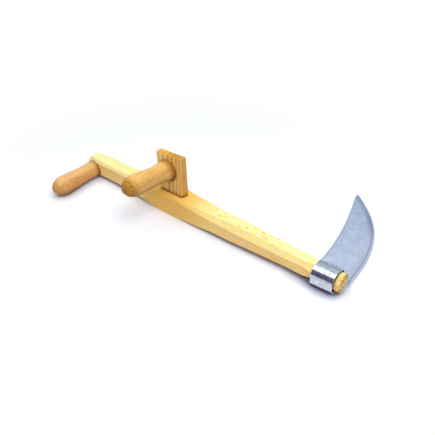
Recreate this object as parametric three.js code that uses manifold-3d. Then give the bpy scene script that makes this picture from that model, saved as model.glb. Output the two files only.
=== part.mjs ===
// Miniature scythe: a chamfered wooden shaft with two turned side grips, one of them on an upright plate,
// and a blade of sheet steel whose tab is rolled round the end of the shaft as a strap.
//
// Millimetres. X runs along the shaft towards the blade, the grips point to -Y, the blade to +Y, Z is up.
// The origin lies on the shaft's underside, which rests on the table under the middle of the grip plate.

import * as THREE from 'three';
import { mergeVertices } from 'three/addons/utils/BufferGeometryUtils.js';
import Module from 'manifold-3d';

const wasm = await Module();
wasm.setup();

// Fits
const seatGap = 0.25; // round each glued, nailed or wrapped joint
const cutOverrun = 2; // how far a cutter runs past the face that it opens

// Shaft, measured from the middle of the grip plate
const buttReach = 79;
const neckReach = 108.1; // to the strap's near edge
const stubLength = 3.8; // of the end grain beyond the strap
const buttSwell = 7; // how far the full section holds towards the butt
const bladeSwell = 44; // and towards the blade
const buttTaper = 46; // length over which it then thins
const bladeTaper = 64;
const swellWidth = 14.4;
const swellHeight = 13.8;
const buttWidth = 11.9;
const buttHeight = 12;
const buttLift = 1.6; // how far the underside has risen from the table at the butt
const neckWidth = 11.7;
const neckHeight = 10.5;
const neckLift = 1.35;
const bodyChamfer = 3.2;
const buttChamfer = 1.6;
const leastChamfer = 0.12;
const buttBevel = 1.9; // round the butt's end
const tipBevel = 1; // and round the end grain beyond the strap
const stubDroop = 0.85; // how far the stub beyond the strap hangs below the neck
const stubShoulder = 1; // the length over which it gets there
const stubWear = 2.8; // added to the chamfer of the stub's lower rear corner
const stationSpacing = 5;

// The chamfers stop short of the plate: [share of the reach, share of the full chamfer]
const bladeSideChamferShares = [
  [0, 0], [0.04, 0], [0.2, 0.5], [0.36, 0.92], [0.6, 1], [0.8, 0.9], [0.94, 0.74], [1, 1.06], [1.16, 1.08],
];
const buttSideChamferShares = [[0, 0], [0.06, 0], [0.3, 0.9], [0.5, 1], [0.85, 1], [1, 1.5]];

// Grip plate
const plateWidth = 19.8;
const plateTopWidth = 21.6;
const plateThickness = 5.8;
const plateTopThickness = 4.8;
const plateHeight = 27.3; // above the shaft, in the middle of the top
const plateTopSlope = 1.2; // how much higher the top is at the blade's end than at the butt's
const plateLean = 1.4; // of its top towards the butt
const plateSetback = 0.4; // of its middle from the shaft's axis, away from the grips
const plateFootRadius = 2.2; // the foot is rounded to suit the routed mortise
const plateEdgeRadius = 0.7;
const plateFootRun = 3; // height over which the rounding dies out
const plateCornerSteps = 4;
const mortiseDepth = 10;

// Grips
const gripLength = 37;
const midGripRootDiameter = 14;
const midGripWaistDiameter = 12;
const midGripBulbDiameter = 13.4;
const midGripHeight = 29.9; // of its axis above the table, at the plate
const midGripOffset = 2.6; // of its axis from the plate's middle, towards the butt
const midGripRise = 5; // degrees
const endGripRootDiameter = 12;
const endGripWaistDiameter = 11.2;
const endGripBulbDiameter = 13.3;
const endGripInset = 6.2; // of its axis from the butt's end
const endGripHeight = 6.4; // of its axis above the table, at the shaft
const endGripYaw = 3.5; // degrees, towards the blade
const rootCope = 2.5; // how far a root is drawn in before it is coped to its seat
const waistPlaceShare = 0.3; // of the grip's length
const bulbPlaceShare = 0.74;
const gripSegments = 40;
const flankPoints = 20;
const domePoints = 10;

// Dowels
const dowelDiameter = 5;
const dowelChamfer = 0.6;
const dowelInGrip = 12;
const dowelInShaft = 8;
const holeEndClearance = 0.5;
const dowelSegments = 32;

// Blade and strap, one sheet
const sheet = 0.8;
const sheetLift = 0.5; // of the flat's underside above the table
const heelOverhang = 4.2; // of the blade's back beyond the strap
const rootSetback = 0.5; // of the root's shoulders from the shaft's axis
const bladeReach = 90.5; // of the tip from the shaft's axis
const bladeSweep = 40; // of the tip back from the heel
const bladeSteps = 44;
const rimWidth = 3.6; // of the beaded and turned-down back
const beadRise = 0.3;
const rimEdge = 0.45; // thickness left at the back's edge
const rimLimitShare = 0.45; // of the blade's width at the narrow tip
const grindWidth = 1.2; // of the thin bevel on the cutting edge
const grindEdge = 0.35;
const grindLimitShare = 0.2;
const strapWidth = 13.4;
const strapRadius = 4.8; // of its upper front corner, outside
const strapBackRadius = 5.6; // of its upper back corner
const strapFootRadius = 1.6; // of its lower corner at the near rim
const strapFootRadiusFar = 3; // and at the far rim
const strapSlack = 0.25; // between the near rim and the shaft's front face, past the fit
const strapSlackFar = 0;
const strapRiseFar = 0.3; // how much higher the far rim sits
const strapCornerSteps = 8;
const seamGap = 0.5; // between the strap's free end and the sheet below it
const rootRampShares = [0.03, 0.12]; // where along the blade the sheet rises from the strap's level

// The blade's back and cutting edge as cubic curves in plan: [share of the sweep, share of the reach]
const backCurveShares = [[0, 0], [0.01, 0.365], [0.13, 0.725], [0.965, 1]];
const edgeCurveShares = [[0.575, 0], [0.575, 0.395], [0.745, 0.655], [0.995, 0.985]];

// Section of the rim from the back's edge inwards: [share of its width, of the fall, of the bead's rise]
const rimSectionShares = [[0, 1, 0], [0.15, 0.55, 0], [0.35, 0.1, 0], [0.6, 0, 1], [0.82, 0, 0.8], [1, 0, 0]];

// Tack in the strap's back wall
const tackDiameter = 1;
const tackLength = 7;
const tackHeadDiameter = 2.6;
const tackHeadHeight = 0.7;
const tackHeightShare = 0.52; // of the neck's height
const tackSegments = 24;
const tackDomeShare = 0.6; // of the head's radius, where its dome turns over
const tackDomeHeightShare = 0.9;

const wood = new THREE.MeshStandardMaterial({ color: 0xf2dfae, roughness: 0.7, metalness: 0 });
const plateWood = new THREE.MeshStandardMaterial({ color: 0xd3a766, roughness: 0.7, metalness: 0 });
const gripWood = new THREE.MeshStandardMaterial({ color: 0xd9ab6b, roughness: 0.75, metalness: 0 });
const dowelWood = new THREE.MeshStandardMaterial({ color: 0xe3c58c, roughness: 0.7, metalness: 0 });
const zincSheet = new THREE.MeshStandardMaterial({ color: 0xb4c4da, roughness: 0.35, metalness: 0.9 });
const tackSteel = new THREE.MeshStandardMaterial({ color: 0x9a9da3, roughness: 0.4, metalness: 1 });

// Solids from geometry, and back

function solidOf(geometry) {
  const bare = geometry.clone();
  bare.deleteAttribute('normal');
  bare.deleteAttribute('uv');
  const merged = mergeVertices(bare);
  const index = merged.index.array;
  const triangles = [];
  for (let i = 0; i < index.length; i += 3) {
    const [a, b, c] = [index[i], index[i + 1], index[i + 2]];
    if (a !== b && b !== c && c !== a) triangles.push(a, b, c);
  }
  const vertProperties = new Float32Array(merged.attributes.position.array);
  const triVerts = new Uint32Array(triangles);
  return new wasm.Manifold(new wasm.Mesh({ numProp: 3, vertProperties, triVerts }));
}

function geometryOf(solid) {
  const mesh = solid.getMesh();
  const geometry = new THREE.BufferGeometry();
  geometry.setAttribute('position', new THREE.BufferAttribute(mesh.vertProperties, 3));
  geometry.setIndex(new THREE.BufferAttribute(mesh.triVerts, 1));
  geometry.computeVertexNormals();
  return geometry;
}

function piece(name, solid, material) {
  const mesh = new THREE.Mesh(geometryOf(solid), material.clone());
  mesh.name = name;
  return mesh;
}

// A skin over rings of equally many points, closed by strips between the points of its first and last ring
// that face each other. Rings run anticlockwise as seen from the last one.
function loft(rings) {
  const count = rings[0].length;
  const positions = rings.flat().flatMap((point) => [point.x, point.y, point.z]);
  const index = [];
  for (let r = 0; r + 1 < rings.length; r += 1) {
    for (let i = 0; i < count; i += 1) {
      const a = r * count + i;
      const b = r * count + (i + 1) % count;
      index.push(a, b, b + count, a, b + count, a + count);
    }
  }
  const last = (rings.length - 1) * count;
  for (let i = 0; i < count / 2 - 1; i += 1) {
    const [a, b, c, d] = [i, i + 1, count - 2 - i, count - 1 - i];
    index.push(a, c, b, a, d, c);
    index.push(last + a, last + b, last + c, last + a, last + c, last + d);
  }
  const geometry = new THREE.BufferGeometry();
  geometry.setAttribute('position', new THREE.Float32BufferAttribute(positions, 3));
  geometry.setIndex(index);
  return geometry;
}

// A value between the rows of a table of [place, value], eased from row to row
function easedBetween(rows, place) {
  if (place >= rows.at(-1)[0]) return rows.at(-1)[1];
  const next = Math.max(1, rows.findIndex((row) => row[0] > place));
  const [from, to] = [rows[next - 1], rows[next]];
  return THREE.MathUtils.lerp(from[1], to[1], THREE.MathUtils.smoothstep(place, from[0], to[0]));
}

// A cylinder along Y that spans from one place to another
function barrel(diameter, from, to) {
  return new THREE.CylinderGeometry(diameter / 2, diameter / 2, to - from, dowelSegments)
    .translate(0, (from + to) / 2, 0);
}

// Shaft

const stubReach = neckReach + strapWidth + seatGap; // where the wood comes out of the strap
const tipReach = neckReach + strapWidth + stubLength;
const heelReach = neckReach + strapWidth + heelOverhang;

// Width, height, rise from the table and chamfer at a distance from the plate's middle
function shaftSizes(x) {
  const towardsBlade = x > 0;
  const swell = towardsBlade ? bladeSwell : buttSwell;
  const taper = towardsBlade ? bladeTaper : buttTaper;
  const fullness = 1 - THREE.MathUtils.smoothstep(Math.abs(x), swell, swell + taper);
  const shares = towardsBlade ? bladeSideChamferShares : buttSideChamferShares;
  const fullChamfer = towardsBlade ? bodyChamfer : buttChamfer;
  const reach = towardsBlade ? neckReach : buttReach;
  return {
    width: THREE.MathUtils.lerp(towardsBlade ? neckWidth : buttWidth, swellWidth, fullness),
    height: THREE.MathUtils.lerp(towardsBlade ? neckHeight : buttHeight, swellHeight, fullness),
    lift: THREE.MathUtils.lerp(towardsBlade ? neckLift : buttLift, 0, fullness),
    chamfer: fullChamfer * easedBetween(shares, Math.abs(x) / reach),
  };
}

// The eight-sided section at x, drawn in by an inset or let out by a negative one. A droop lowers its foot
// and wears its lower rear corner away.
function shaftRing(x, inset, droop = 0) {
  const { width, height, lift, chamfer } = shaftSizes(x);
  const half = width / 2 - inset;
  const low = lift + inset - droop;
  const high = lift + height - inset;
  const cut = Math.max(chamfer - inset * (2 - Math.SQRT2), leastChamfer);
  const worn = droop > 0 ? cut + stubWear : cut;
  const corners = [
    [half - worn, low], [half, low + worn], [half, high - cut], [half - cut, high],
    [cut - half, high], [-half, high - cut], [-half, low + cut], [cut - half, low],
  ];
  return corners.map(([y, z]) => new THREE.Vector3(x, y, z));
}

function shaftStations() {
  const places = [-buttReach, -buttSwell, bladeSwell, neckReach, stubReach];
  const stations = [];
  for (let i = 0; i + 1 < places.length; i += 1) {
    const steps = Math.ceil((places[i + 1] - places[i]) / stationSpacing);
    for (let k = 0; k < steps; k += 1) {
      stations.push(THREE.MathUtils.lerp(places[i], places[i + 1], k / steps));
    }
  }
  return [...stations, stubReach];
}

function shaftBlank() {
  const inner = shaftStations().slice(1);
  const butt = [shaftRing(-buttReach, buttBevel), shaftRing(buttBevel - buttReach, 0)];
  const stub = [
    shaftRing(stubReach + stubShoulder, 0, stubDroop),
    shaftRing(tipReach - tipBevel, 0, stubDroop),
    shaftRing(tipReach, tipBevel, stubDroop),
  ];
  return solidOf(loft([...butt, ...inner.map((x) => shaftRing(x, 0)), ...stub]));
}

// What a root is coped against: the shaft let out by the joint's gap
function shaftEnvelope() {
  const inner = shaftStations().filter((x) => x < -buttSwell);
  const past = inner.map((x, i) => (i === 0 ? shaftRing(x - cutOverrun, -seatGap) : shaftRing(x, -seatGap)));
  return loft(past);
}

// Grip plate: rounded rectangles stacked from the tongue's foot to the worn top

function plateRing(width, thickness, radius, centre, z, slope = 0) {
  const corners = [[1, 1], [-1, 1], [-1, -1], [1, -1]];
  return corners.flatMap(([sx, sy], quarter) => {
    const points = [];
    for (let k = 0; k <= plateCornerSteps; k += 1) {
      const angle = (Math.PI / 2) * (quarter + k / plateCornerSteps);
      const x = centre + sx * (width / 2 - radius) + radius * Math.cos(angle);
      const y = plateSetback + sy * (thickness / 2 - radius) + radius * Math.sin(angle);
      points.push(new THREE.Vector3(x, y, z + slope * (x - centre) / width));
    }
    return points;
  });
}

function gripPlate() {
  const foot = swellHeight;
  const top = swellHeight + plateHeight;
  const at = (share, radius, inset) => plateRing(
    THREE.MathUtils.lerp(plateWidth, plateTopWidth, share) - 2 * inset,
    THREE.MathUtils.lerp(plateThickness, plateTopThickness, share) - 2 * inset,
    radius,
    -plateLean * share,
    THREE.MathUtils.lerp(foot, top, share),
    plateTopSlope * share,
  );
  const tongueFoot = foot - mortiseDepth + holeEndClearance;
  const tongue = plateRing(plateWidth, plateThickness, plateFootRadius, 0, tongueFoot);
  const runShare = plateFootRun / plateHeight;
  const edgeShare = 1 - plateEdgeRadius / plateHeight;
  const rings = [
    tongue,
    at(0, plateFootRadius, 0),
    at(runShare, plateEdgeRadius, 0),
    at(edgeShare, plateEdgeRadius, 0),
    at(1, plateEdgeRadius / 2, plateEdgeRadius / 2),
  ];
  return solidOf(loft(rings));
}

function mortiseCutter() {
  const grown = (z) => plateRing(
    plateWidth + 2 * seatGap,
    plateThickness + 2 * seatGap,
    plateFootRadius + seatGap,
    0,
    z,
  );
  return solidOf(loft([grown(swellHeight - mortiseDepth), grown(swellHeight + cutOverrun)]));
}

// Turned grip along -Y: its root's middle at the origin, its waist, its bulb and its domed end

function turnedGrip({ root, waist, bulb }) {
  const bulbPlace = gripLength * bulbPlaceShare;
  const flanks = new THREE.SplineCurve([
    new THREE.Vector2(root / 2, rootCope),
    new THREE.Vector2(root / 2, 0),
    new THREE.Vector2((root + waist) / 4, -gripLength * waistPlaceShare / 2),
    new THREE.Vector2(waist / 2, -gripLength * waistPlaceShare),
    new THREE.Vector2((waist + bulb) / 4, -(gripLength * waistPlaceShare + bulbPlace) / 2),
    new THREE.Vector2(bulb / 2, -bulbPlace),
  ]);
  const dome = new THREE.EllipseCurve(0, -bulbPlace, bulb / 2, gripLength - bulbPlace, 0, -Math.PI / 2, true);
  const profile = [...flanks.getPoints(flankPoints), ...dome.getPoints(domePoints).slice(1)];
  profile.at(-1).setX(0);
  return new THREE.LatheGeometry([new THREE.Vector2(0, rootCope), ...profile].reverse(), gripSegments);
}

function dowelHole(depth) {
  return solidOf(barrel(dowelDiameter + 2 * seatGap, -depth - holeEndClearance, rootCope + cutOverrun));
}

function dowel(from, to) {
  const radius = dowelDiameter / 2;
  const profile = [
    new THREE.Vector2(0, from),
    new THREE.Vector2(radius - dowelChamfer, from),
    new THREE.Vector2(radius, from + dowelChamfer),
    new THREE.Vector2(radius, to - dowelChamfer),
    new THREE.Vector2(radius - dowelChamfer, to),
    new THREE.Vector2(0, to),
  ];
  return solidOf(new THREE.LatheGeometry(profile, dowelSegments));
}

// Blade and strap

// A curve in plan from the root's shoulder to the tip
function bladeCurve(shares) {
  const points = shares.map(([sweep, reach]) => new THREE.Vector2(
    heelReach - bladeSweep * sweep,
    THREE.MathUtils.lerp(rootSetback, bladeReach, reach),
  ));
  return new THREE.CubicBezierCurve(...points);
}

// Heights of the sheet's upper face across the blade: [distance in from the back, height above the flat]
function rimProfile(chord, lift, bead) {
  const rim = Math.min(rimWidth, chord * rimLimitShare);
  const fullness = rim / rimWidth;
  const fall = lift + sheet - rimEdge;
  return rimSectionShares.map(([place, down, up]) => [rim * place, (bead * up - fall * down) * fullness]);
}

function bladeRing(back, edge, ramp) {
  const across = new THREE.Vector2().subVectors(edge, back);
  const chord = across.length();
  across.normalize();
  const lift = sheetLift * ramp;
  const flat = lift + sheet;
  const grind = Math.min(grindWidth, chord * grindLimitShare);
  const rows = [...rimProfile(chord, lift, beadRise * ramp), [chord - grind, 0], [chord, grindEdge - sheet]];
  const at = ([distance], height) => {
    const place = back.clone().addScaledVector(across, distance);
    return new THREE.Vector3(place.x, place.y, height);
  };
  const upper = rows.map((row) => at(row, flat + row[1]));
  const lower = rows.map((row) => at(row, Math.max(0, Math.min(lift, flat + row[1] - sheet))));
  return [...lower, ...upper.reverse()];
}

function bladeSheet() {
  const back = bladeCurve(backCurveShares);
  const edge = bladeCurve(edgeCurveShares);
  const rings = [];
  for (let k = 0; k <= bladeSteps; k += 1) {
    const ramp = THREE.MathUtils.smoothstep(k / bladeSteps, ...rootRampShares);
    rings.push(bladeRing(back.getPoint(k / bladeSteps), edge.getPoint(k / bladeSteps), ramp));
  }
  return solidOf(loft(rings));
}

// One rim of the strap: its inner face from the root round the foot, up the front, over and down the back,
// then its outer face the same way back
function strapRim(x, slack, rise, footRadius) {
  const front = -(neckWidth / 2 + seatGap + sheet + slack);
  const back = neckWidth / 2 + seatGap + sheet;
  const top = neckLift + neckHeight + seatGap + sheet + rise;
  const seam = sheet + seamGap;
  const quarter = (cy, cz, radius, from) => {
    const points = [];
    for (let k = 0; k <= strapCornerSteps; k += 1) {
      const angle = from - (Math.PI / 2) * (k / strapCornerSteps);
      points.push(new THREE.Vector3(x, cy + radius * Math.cos(angle), cz + radius * Math.sin(angle)));
    }
    return points;
  };
  const face = (depth) => [
    new THREE.Vector3(x, rootSetback + cutOverrun, depth),
    ...quarter(front + footRadius, rise + footRadius, footRadius - depth, -Math.PI / 2),
    ...quarter(front + strapRadius, top - strapRadius, strapRadius - depth, Math.PI),
    ...quarter(back - strapBackRadius, top - strapBackRadius, strapBackRadius - depth, Math.PI / 2),
    new THREE.Vector3(x, back - depth, seam),
  ];
  return [...face(sheet), ...face(0).reverse()];
}

function strap() {
  const near = strapRim(neckReach, strapSlack, 0, strapFootRadius);
  const far = strapRim(neckReach + strapWidth, strapSlackFar, strapRiseFar, strapFootRadiusFar);
  return solidOf(loft([near, far]));
}

// Assembly

const strapBack = neckWidth / 2 + seatGap + sheet;
const tackHeight = neckLift + neckHeight * tackHeightShare;
const tackPlace = new THREE.Vector3(neckReach + strapWidth / 2, strapBack, tackHeight);

function tackHole() {
  const hole = barrel(tackDiameter + 2 * seatGap, -tackLength - holeEndClearance, cutOverrun);
  return solidOf(hole.translate(tackPlace.x, tackPlace.y, tackPlace.z));
}

function tack() {
  const radius = tackDiameter / 2;
  const headRadius = tackHeadDiameter / 2;
  const profile = [
    new THREE.Vector2(0, -tackLength),
    new THREE.Vector2(radius, radius * 2 - tackLength),
    new THREE.Vector2(radius, seatGap),
    new THREE.Vector2(headRadius, seatGap),
    new THREE.Vector2(headRadius, seatGap + tackHeadHeight / 2),
    new THREE.Vector2(headRadius * tackDomeShare, seatGap + tackHeadHeight * tackDomeHeightShare),
    new THREE.Vector2(0, seatGap + tackHeadHeight),
  ];
  return solidOf(new THREE.LatheGeometry(profile, tackSegments));
}

// A group that carries a grip and its dowel, its own -Y along the grip's axis
function gripMount(x, y, z, rise, yaw) {
  const group = new THREE.Group();
  group.position.set(x, y, z);
  group.rotation.set(THREE.MathUtils.degToRad(-rise), 0, THREE.MathUtils.degToRad(yaw), 'ZYX');
  group.updateMatrix();
  return group;
}

// A cutter that is drawn in the part's frame, seen from inside a mount
function seenFrom(mount, geometry) {
  return solidOf(geometry.clone().applyMatrix4(mount.matrix.clone().invert()));
}

const plateShare = (midGripHeight - swellHeight) / plateHeight;
const plateFront = THREE.MathUtils.lerp(plateThickness, plateTopThickness, plateShare) / 2;
const midMount = gripMount(-midGripOffset, plateSetback - plateFront, midGripHeight, midGripRise, 0);

const endDrop = endGripHeight - endGripBulbDiameter / 2;
const endRise = THREE.MathUtils.radToDeg(-Math.asin(endDrop / (gripLength * bulbPlaceShare)));
const endMount = gripMount(endGripInset - buttReach, -buttWidth / 2, endGripHeight, endRise, endGripYaw);

function dowelTunnel(mount, from, to) {
  return solidOf(barrel(dowelDiameter + 2 * seatGap, from, to).applyMatrix4(mount.matrix));
}

// The slab that the mid grip's root is coped against
function plateEnvelope() {
  const span = plateTopWidth + 2 * cutOverrun;
  const slab = new THREE.BoxGeometry(span, plateThickness, 2 * plateHeight);
  const tilt = Math.atan((plateThickness - plateTopThickness) / 2 / plateHeight);
  slab.translate(0, plateThickness / 2 - seatGap, 0).rotateX(-tilt);
  return slab.translate(0, plateSetback - plateFront, midGripHeight);
}

const shaft = shaftBlank()
  .subtract(mortiseCutter())
  .subtract(dowelTunnel(endMount, -cutOverrun, dowelInShaft + holeEndClearance))
  .subtract(tackHole());

const plate = gripPlate()
  .subtract(dowelTunnel(midMount, -cutOverrun, plateThickness + cutOverrun));

const midGripSizes = { root: midGripRootDiameter, waist: midGripWaistDiameter, bulb: midGripBulbDiameter };
const midGrip = solidOf(turnedGrip(midGripSizes))
  .subtract(dowelHole(dowelInGrip))
  .subtract(seenFrom(midMount, plateEnvelope()));

const endGripSizes = { root: endGripRootDiameter, waist: endGripWaistDiameter, bulb: endGripBulbDiameter };
const endGrip = solidOf(turnedGrip(endGripSizes))
  .subtract(dowelHole(dowelInGrip))
  .subtract(seenFrom(endMount, shaftEnvelope()));

const blade = bladeSheet().add(strap()).subtract(tackHole());

midMount.add(piece('mid_grip', midGrip, gripWood));
midMount.add(piece('mid_grip_dowel', dowel(-dowelInGrip, 2 * plateFront), dowelWood));
endMount.add(piece('end_grip', endGrip, gripWood));
endMount.add(piece('end_grip_dowel', dowel(-dowelInGrip, dowelInShaft), dowelWood));

const strapTack = piece('strap_tack', tack(), tackSteel);
strapTack.position.copy(tackPlace);

const scythe = new THREE.Group();
scythe.add(piece('shaft', shaft, wood));
scythe.add(piece('grip_plate', plate, plateWood));
scythe.add(midMount);
scythe.add(endMount);
scythe.add(piece('blade', blade, zincSheet));
scythe.add(strapTack);

export default scythe;
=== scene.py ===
"""A miniature scythe of pale wood and sheet steel, lying on its side on a white table.

The pieces are the shaft, the grip plate with its peg, the peg at the butt, and the crescent blade whose tab
is rolled round the end of the shaft. Lengths are millimetres until a mesh is finished, and metres after that.
"""

import logging
import math
from collections.abc import Callable, Sequence
from dataclasses import dataclass
from enum import Enum
from functools import cached_property
from typing import Any

import bmesh
import bpy
from mathutils import Euler, Matrix, Vector, noise


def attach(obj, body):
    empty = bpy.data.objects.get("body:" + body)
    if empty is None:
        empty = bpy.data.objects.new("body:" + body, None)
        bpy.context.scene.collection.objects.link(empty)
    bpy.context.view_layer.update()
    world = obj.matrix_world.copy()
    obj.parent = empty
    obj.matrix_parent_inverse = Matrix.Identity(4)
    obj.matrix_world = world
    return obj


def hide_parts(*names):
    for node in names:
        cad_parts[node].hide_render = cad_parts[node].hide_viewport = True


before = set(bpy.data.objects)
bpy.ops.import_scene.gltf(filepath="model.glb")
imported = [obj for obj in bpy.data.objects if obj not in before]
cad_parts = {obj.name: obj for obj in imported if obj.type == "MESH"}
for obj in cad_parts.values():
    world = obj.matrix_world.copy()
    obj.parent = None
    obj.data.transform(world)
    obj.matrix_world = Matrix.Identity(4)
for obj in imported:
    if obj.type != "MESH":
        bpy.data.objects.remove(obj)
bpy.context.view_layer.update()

MM = 0.001
WHITE = "#ffffff"
BODY = "root"
# Where the roots of the two pegs stand, in X and Z.
MID_PEG_AT = (-2.6, 29.9)
BUTT_PEG_AT = (-72.8, 6.4)
log = logging.getLogger("scythe")

Place = Callable[[float, float, float], Vector]
Pair = tuple[float, float]
Triple = tuple[float, float, float]
Quad = tuple[float, float, float, float]
Table = tuple[Pair, ...]
Socket = bpy.types.NodeSocket


class Grain(Enum):
    """Which way the fibres of a piece of wood run."""

    ALONG_X = 0
    ALONG_Y = 1
    ALONG_Z = 2


class PegSurface(Enum):
    """How a turned peg was left by its maker."""

    SANDED_ROUGH = "rough"
    RUBBED_SMOOTH = "smooth"


class Lay(Enum):
    """How one tone is laid over another: as paint that covers it, or multiplied in so that it darkens it."""

    PAINT = "MIX"
    DARKEN = "MULTIPLY"


class Span(Enum):
    """What a mark on the blade depends on; the marks are wear and painted light."""

    TO_TIP = "the share of the way to the tip"
    FROM_BACK = "the distance from the back in millimetres"
    RIM = "the distance from the back in widths of the rim"
    GRIND = "the distance from the edge in widths of its grind"


# Numbers


def ease(low: float, high: float, value: float) -> float:
    """A smooth step.

    Args:
        low: Where the step starts.
        high: Where it ends.
        value: The place that is asked for.

    Returns:
        0 before the step, 1 after it and a smooth value between.
    """
    share = min(max((value - low) / (high - low), 0.0), 1.0)
    return share * share * (3.0 - 2.0 * share)


def mix(low: float, high: float, share: float) -> float:
    """The value that lies at a share of the way from low to high."""
    return low + (high - low) * share


def table_value(rows: Sequence[Pair], place: float) -> float:
    """A value between the rows of a table, eased from row to row.

    Args:
        rows: Pairs of place and value, in rising order of place.
        place: The place that is asked for.

    Returns:
        The eased value.
    """
    if place <= rows[0][0]:
        return rows[0][1]
    for (low, before), (high, after) in zip(rows, rows[1:]):
        if place <= high:
            return mix(before, after, ease(low, high, place))
    return rows[-1][1]


def spline_value(rows: Sequence[Pair], place: float) -> float:
    """A value on a smooth curve through the rows of a table.

    Args:
        rows: Pairs of place and value, in rising order of place.
        place: The place that is asked for.

    Returns:
        The value on a curve whose slope at a row is that between its neighbours.
    """
    last = len(rows) - 1
    place = min(max(place, rows[0][0]), rows[last][0])
    i = next(k for k in range(last) if place <= rows[k + 1][0])
    (x0, y0), (x1, y1) = rows[i], rows[i + 1]
    before, after = rows[max(i - 1, 0)], rows[min(i + 2, last)]
    rise = (y1 - before[1]) / (x1 - before[0])
    fall = (after[1] - y0) / (after[0] - x0)
    span = x1 - x0
    t = (place - x0) / span
    return (
        (2 * t**3 - 3 * t**2 + 1) * y0
        + (t**3 - 2 * t**2 + t) * span * rise
        + (3 * t**2 - 2 * t**3) * y1
        + (t**3 - t**2) * span * fall
    )


def bezier(points: Sequence[Vector], share: float) -> Vector:
    """The point at a share of the way along a cubic curve.

    Args:
        points: The curve's four control points.
        share: From 0 to 1.

    Returns:
        The point.
    """
    rest = 1.0 - share
    weights = (rest**3, 3 * rest**2 * share, 3 * rest * share**2, share**3)
    return sum((point * weight for point, weight in zip(points, weights)), Vector((0.0, 0.0)))


# Meshes


def unit_sheet(columns: int, rows: int) -> bmesh.types.BMesh:
    """A flat sheet of quads, one unit each way from the origin.

    Args:
        columns: How many quads lie along X.
        rows: How many lie along Y.

    Returns:
        The sheet.
    """
    bm = bmesh.new()
    half = Matrix.Translation((0.5, 0.5, 0.0))
    bmesh.ops.create_grid(bm, x_segments=columns, y_segments=rows, size=0.5, matrix=half)
    return bm


def unit_slab(columns: int, rows: int) -> bmesh.types.BMesh:
    """A closed slab of unit size, one quad thick.

    Args:
        columns: How many quads lie along X.
        rows: How many lie along Y.

    Returns:
        The slab, its lower face at 0 and its upper one at 1.
    """
    bm = unit_sheet(columns, rows)
    raised = bmesh.ops.extrude_face_region(bm, geom=bm.faces[:])["geom"]
    verts = [part for part in raised if isinstance(part, bmesh.types.BMVert)]
    bmesh.ops.translate(bm, verts=verts, vec=(0.0, 0.0, 1.0))
    return bm


def shape(bm: bmesh.types.BMesh, place: Place) -> None:
    """Moves each corner of a unit form to its place.

    Args:
        bm: The unit form.
        place: Gives a corner's place, in millimetres, from its place on the unit form.
    """
    for vert in bm.verts:
        vert.co = place(*vert.co)


def barrel(radius: float, start: float, end: float, matrix: Matrix) -> bmesh.types.BMesh:
    """A closed cylinder along Y, to bore a hole with.

    Args:
        radius: Its radius.
        start: Where it starts on Y.
        end: Where it ends.
        matrix: Moves it to its place.

    Returns:
        The cylinder.
    """
    bm = bmesh.new()
    turn = Matrix.Translation((0.0, (start + end) / 2, 0.0)) @ Matrix.Rotation(math.radians(90), 4, "X")
    bmesh.ops.create_cone(
        bm, cap_ends=True, segments=40, radius1=radius, radius2=radius, depth=end - start,
        matrix=matrix @ turn,
    )
    return bm


def mesh_object(bm: bmesh.types.BMesh, name: str) -> bpy.types.Object:
    """Turns a form in millimetres into an object in metres and frees it.

    Args:
        bm: The form.
        name: The object's name.

    Returns:
        The object, at the origin and unturned.
    """
    bmesh.ops.recalc_face_normals(bm, faces=bm.faces)
    bmesh.ops.scale(bm, verts=bm.verts, vec=(MM, MM, MM))
    mesh = bpy.data.meshes.new(name)
    bm.to_mesh(mesh)
    bm.free()
    piece = bpy.data.objects.new(name, mesh)
    bpy.context.scene.collection.objects.link(piece)
    return piece


def cut_away(piece: bpy.types.Object, *cutters: bmesh.types.BMesh) -> None:
    """Cuts forms out of a piece and leaves its mesh with the cuts in it.

    Args:
        piece: What is cut.
        cutters: Closed forms in millimetres.
    """
    for cutter in cutters:
        tool = mesh_object(cutter, "cutter")
        cut = piece.modifiers.new("cut", "BOOLEAN")
        cut.operation, cut.solver, cut.object = "DIFFERENCE", "EXACT", tool
        whole = piece.evaluated_get(bpy.context.evaluated_depsgraph_get())
        mesh = bpy.data.meshes.new_from_object(whole)
        piece.modifiers.clear()
        piece.data = mesh
        bpy.data.objects.remove(tool)


def dress(piece: bpy.types.Object, sharp: float, material: bpy.types.Material, node: str) -> None:
    """Shades a piece, gives it its finish and seats it in the part.

    Args:
        piece: The piece.
        sharp: The turn in degrees past which an edge shows as sharp.
        material: Its finish.
        node: The solid that it stands for.
    """
    piece.data.shade_smooth()
    piece.data.set_sharp_from_angle(angle=math.radians(sharp))
    piece.data.materials.append(material)
    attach(piece, BODY)
    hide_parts(node)


# Materials


def linear(code: str) -> Quad:
    """Turns an sRGB hex colour to linear.

    Args:
        code: Such as "#d9ab6b".

    Returns:
        Red, green, blue and an alpha of 1.
    """
    channels = (int(code[i : i + 2], 16) / 255 for i in (1, 3, 5))
    red, green, blue = (c / 12.92 if c <= 0.04045 else ((c + 0.055) / 1.055) ** 2.4 for c in channels)
    return red, green, blue, 1.0


def per_metre(size_mm: float) -> float:
    """How often a pattern of a size in millimetres repeats in a metre."""
    return 1000.0 / size_mm


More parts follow.
